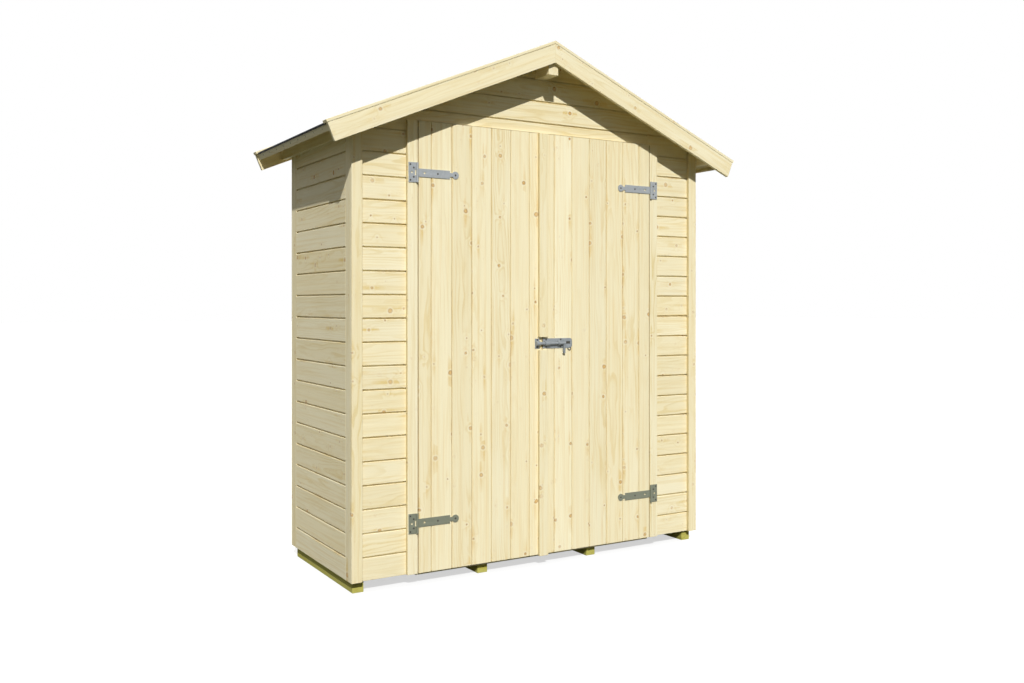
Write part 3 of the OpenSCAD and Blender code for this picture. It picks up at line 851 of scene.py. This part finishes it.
def felt_nails(sign):
    """Clout nails along the lower edge of each lapped sheet of felt."""
    lowest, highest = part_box("right_roof_felt")
    _, up = down_slope(sign)
    pitch, edge = 110 * MM, 25 * MM
    count = int((highest.y - lowest.y) / pitch)
    first = -(count - 1) / 2 * pitch
    rows = [(foot - edge, FELT_TOP + number * LAP_THICK) for number, foot in enumerate(LAPS, 1)]
    return [(slope_point(sign, distance, height, first + i * pitch), up, NAIL_SIZE)
            for distance, height in rows for i in range(count)]


# Distances of the padbolt's screws from the edge of the leaf, and of each pair from the bar's axis
BOLT_SCREWS = (17, 95)
SCREW_RISE = 16.5 * MM
SMALL_SCREW = 1.0

bolt_screws = [(Vector((BOLT_LOW.x + x * MM, BOLT_SHEET_Y, BAR_Z + rise)), -Y, SMALL_SCREW)
               for x in BOLT_SCREWS for rise in (-SCREW_RISE, SCREW_RISE)]
keeper_screws = [(Vector(((KEEPER_LOW.x + KEEPER_HIGH.x) / 2, BOLT_SHEET_Y, BAR_Z + rise)), -Y, SMALL_SCREW)
                 for rise in (-SCREW_RISE, SCREW_RISE)]
plate_screws = on_hinges(-1, PLATE_SCREWS, SHEET_Y) + on_hinges(1, PLATE_SCREWS, SHEET_Y)
roof_nails = [nail for sign in (-1, 1) for nail in fascia_nails(sign) + felt_nails(sign)]
fasteners("shed_fasteners", "shed", plate_screws + roof_nails)
fasteners("left_door_screws", "left_door", on_hinges(-1, STRAP_SCREWS, SHEET_Y) + keeper_screws)
fasteners("right_door_screws", "right_door", on_hinges(1, STRAP_SCREWS, SHEET_Y) + bolt_screws)
bpy.data.objects.remove(SCREW_HEAD)


# Floor, light and camera

def seen_ray(tree):
    """A factor of 1 on what the eye meets, straight or in a reflection, and 0 on bounced light."""
    ray = add(tree, "ShaderNodeLightPath").outputs
    mirrored = add(tree, MATH, {0: ray["Is Glossy Ray"], 1: ray["Is Transmission Ray"]},
                   operation="MAXIMUM")
    return add(tree, MATH, {0: ray["Is Camera Ray"], 1: mirrored}, operation="MAXIMUM")


def stage_floor():
    """A pale floor: white to the eye where it is lit, dimmer as a source of bounced light."""
    material, tree, shader = new_material("stage_floor")
    tree.nodes.remove(shader)
    bounce = add(tree, "ShaderNodeBsdfDiffuse", {"Color": (0.040, 0.045, 0.020, 1)})
    lit = add(tree, "ShaderNodeBsdfDiffuse", {"Color": (0.46, 0.46, 0.46, 1)})
    glow = add(tree, "ShaderNodeEmission", {"Color": (1, 1, 1, 1), "Strength": 0.61})
    white = add(tree, "ShaderNodeAddShader", {0: lit, 1: glow})
    mixed = add(tree, "ShaderNodeMixShader", {0: seen_ray(tree), 1: bounce, 2: white})
    tree.links.new(mixed.outputs[0], tree.nodes["Material Output"].inputs["Surface"])
    bm = bmesh.new()
    half_width = 60
    bmesh.ops.create_grid(bm, x_segments=1, y_segments=1, size=half_width)
    mesh = made_mesh("stage_floor", bm)
    mesh.materials.append(material)
    new_object("stage_floor", mesh)


def sun(name, travel, strength, spread):
    """A sun lamp whose light travels along a direction, spread over an angle in degrees."""
    lamp = bpy.data.lights.new(name, "SUN")
    lamp.energy = strength
    lamp.angle = math.radians(spread)
    thing = bpy.data.objects.new(name, lamp)
    thing.rotation_euler = Vector(travel).to_track_quat("-Z", "Y").to_euler()
    bpy.context.scene.collection.objects.link(thing)


def world_light():
    """White to the eye and in reflections, an even fill for everything else."""
    world = bpy.data.worlds.new("studio")
    world.use_nodes = True
    tree = world.node_tree
    tree.nodes.clear()
    fill = add(tree, "ShaderNodeBackground", {"Color": (1, 1, 1, 1), "Strength": 0.27})
    white = add(tree, "ShaderNodeBackground", {"Color": (1, 1, 1, 1), "Strength": 1.0})
    mixed = add(tree, "ShaderNodeMixShader", {0: seen_ray(tree), 1: fill, 2: white})
    add(tree, "ShaderNodeOutputWorld", {"Surface": mixed})
    bpy.context.scene.world = world


def camera():
    """The photograph's view: level, about 31 degrees round from the front to the left, at breast height."""
    level = math.radians(90)
    heading = math.radians(-31.01)
    lens = bpy.data.cameras.new("camera")
    lens.sensor_width = 36
    lens.lens = 34.21
    lens.shift_y = -0.0364
    thing = bpy.data.objects.new("camera", lens)
    thing.location = (-2.340, -4.003, 1.158)
    thing.rotation_euler = (level, 0, heading)
    bpy.context.scene.collection.objects.link(thing)
    bpy.context.scene.camera = thing


stage_floor()
sun("key", travel=(0.445, 1.0, -0.845), strength=3.56, spread=0.8)
sun("back_fill", travel=(-0.55, -0.75, -0.6), strength=2.0, spread=40)
world_light()
camera()
bpy.context.scene.view_settings.view_transform = "Standard"
